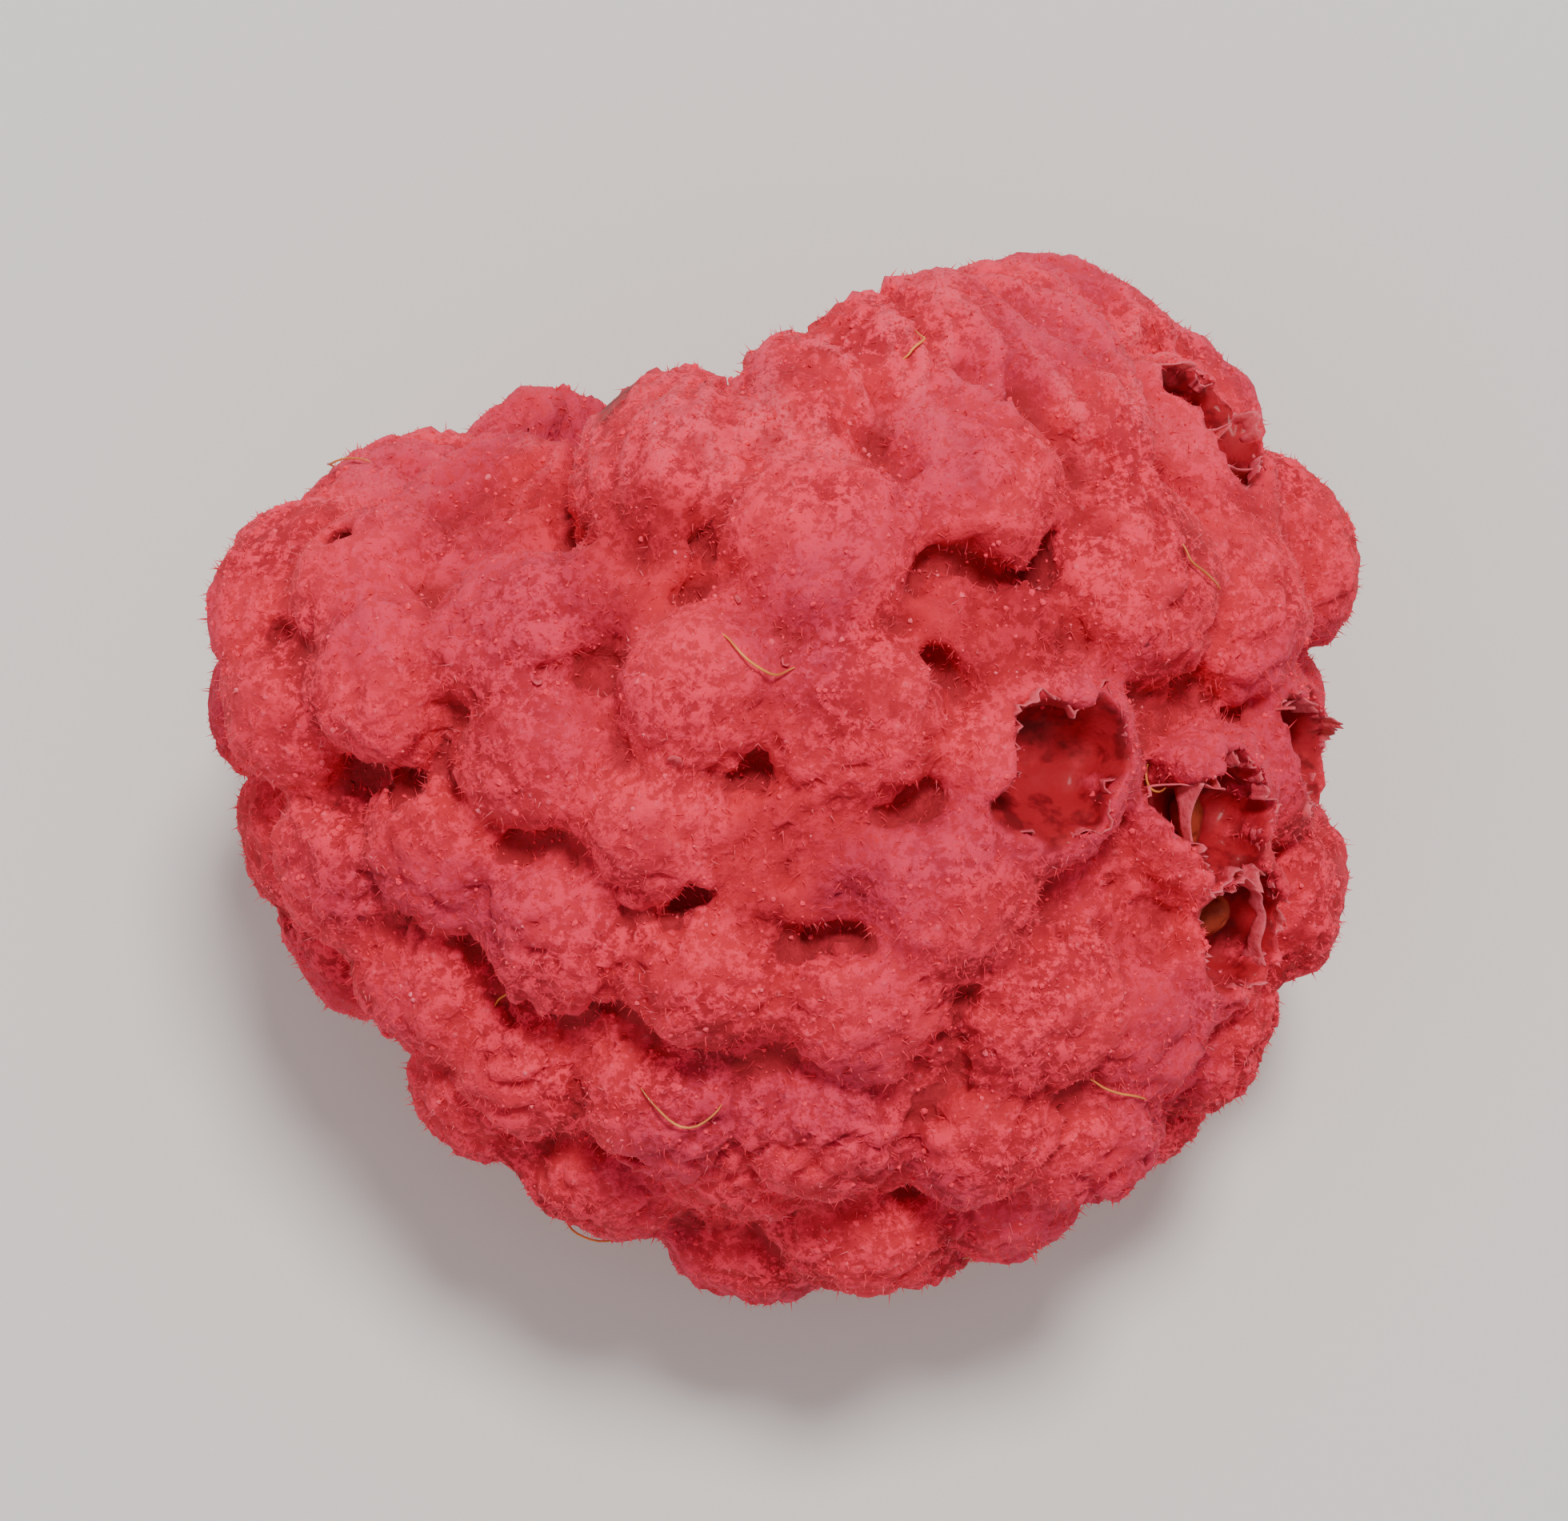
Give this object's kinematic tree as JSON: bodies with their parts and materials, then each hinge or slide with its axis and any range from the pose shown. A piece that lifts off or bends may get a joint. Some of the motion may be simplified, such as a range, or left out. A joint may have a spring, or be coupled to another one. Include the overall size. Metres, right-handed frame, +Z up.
{
  "type": "raspberry",
  "caption": "Freeze-dried raspberry lying on its side, with a blunt tip, an open hollow at the stalk end and a dry, velvety surface.",
  "frame": {"origin": "on the surface that the berry lies on, under the middle of its box", "axes": "+Z up, +X across the berry, -Y towards its tip and +Y towards the mouth of its hollow"},
  "size_m": [0.0194, 0.0178, 0.0148],
  "materials": {
    "dried_fruit": "dry, dusty and velvety, pink-red on the swollen drupelets and darker between them"
  },
  "bodies": {
    "root": {"raspberry": "dried_fruit"}
  },
  "joints": []
}
